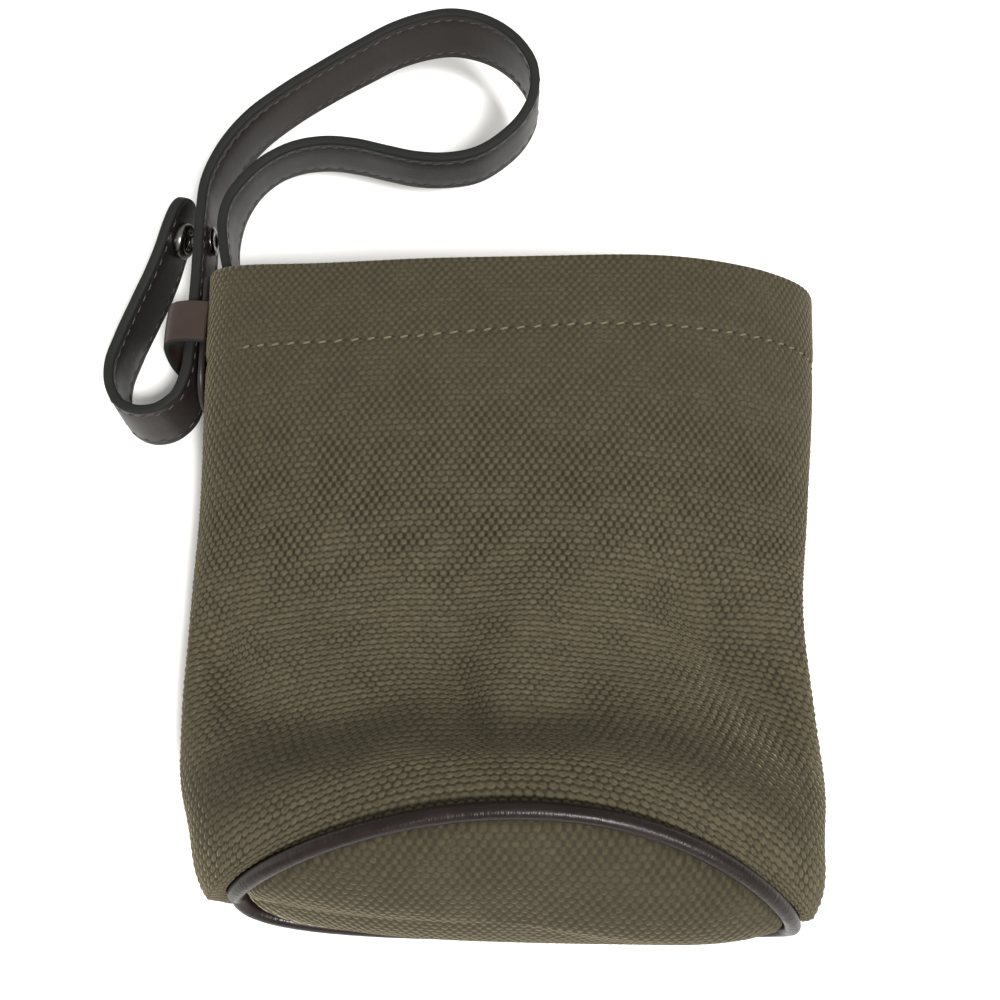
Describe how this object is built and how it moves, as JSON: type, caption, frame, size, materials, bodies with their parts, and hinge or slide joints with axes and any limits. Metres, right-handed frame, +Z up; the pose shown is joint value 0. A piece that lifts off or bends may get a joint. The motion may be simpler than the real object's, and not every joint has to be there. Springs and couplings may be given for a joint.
{
  "type": "dog treat pouch",
  "caption": "Soft canvas bucket pouch with a bulged oval base, leather piping, a folded hem at its open mouth and a leather hand strap that closes with a snap, lying on its back.",
  "frame": {"origin": "on the surface that the pouch lies on, under the middle of its flat back", "axes": "+Z up from the surface, +Y from the base towards the open mouth, +X to the right of the mouth as seen from above"},
  "size_m": [0.1884, 0.2418, 0.0519],
  "materials": {
    "canvas": "matt plain weave of thick olive-brown cotton yarn",
    "piping_leather": "smooth, lightly polished",
    "strap_leather": "smooth, waxed, with painted edges",
    "keeper_leather": "smooth, satin",
    "nickel": "nickel plated, polished"
  },
  "bodies": {
    "root": {"pouch_body": "canvas", "base_panel": "canvas", "base_piping": "piping_leather", "side_patch": "strap_leather", "strap": "strap_leather", "strap_keeper": "keeper_leather", "snap_cap": "nickel", "snap_socket": "nickel", "snap_stud": "nickel", "snap_post": "nickel"}
  },
  "joints": []
}
